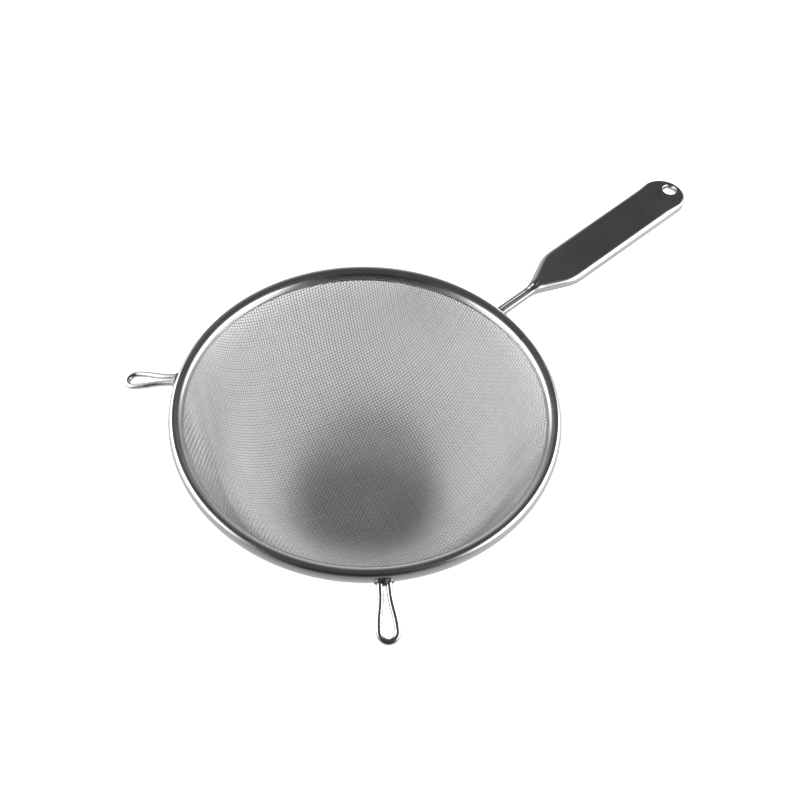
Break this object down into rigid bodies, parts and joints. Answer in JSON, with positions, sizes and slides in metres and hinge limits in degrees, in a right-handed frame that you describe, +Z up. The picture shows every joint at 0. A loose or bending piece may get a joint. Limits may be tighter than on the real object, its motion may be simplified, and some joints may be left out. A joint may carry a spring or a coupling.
{
  "type": "sieve",
  "caption": "Round steel kitchen sieve: a wire-cloth bowl in a rolled rim, a flat pressed handle with a hang hole, and wire loops that rest on the edge of a pot.",
  "frame": {"origin": "middle of the bowl's flat bottom, on its underside", "axes": "+X from the bowl's axis along the handle, +Z up along the bowl's axis towards its open mouth, +Y to the right as seen from the handle's end, looking at the bowl"},
  "size_m": [0.351, 0.2072, 0.0752],
  "materials": {
    "wire_cloth": "woven fine stainless wire, soft grey shine",
    "polished_strip": "polished stainless strip",
    "core_wire": "drawn stainless wire",
    "mirror_sheet": "mirror-polished stainless sheet",
    "rest_wire": "bright drawn stainless wire"
  },
  "bodies": {
    "root": {"mesh_bowl": "wire_cloth", "rim_band": "polished_strip", "rim_core_wire": "core_wire", "handle_shell": "mirror_sheet", "pot_rest_right": "rest_wire", "pot_rest_left": "rest_wire"}
  },
  "joints": []
}
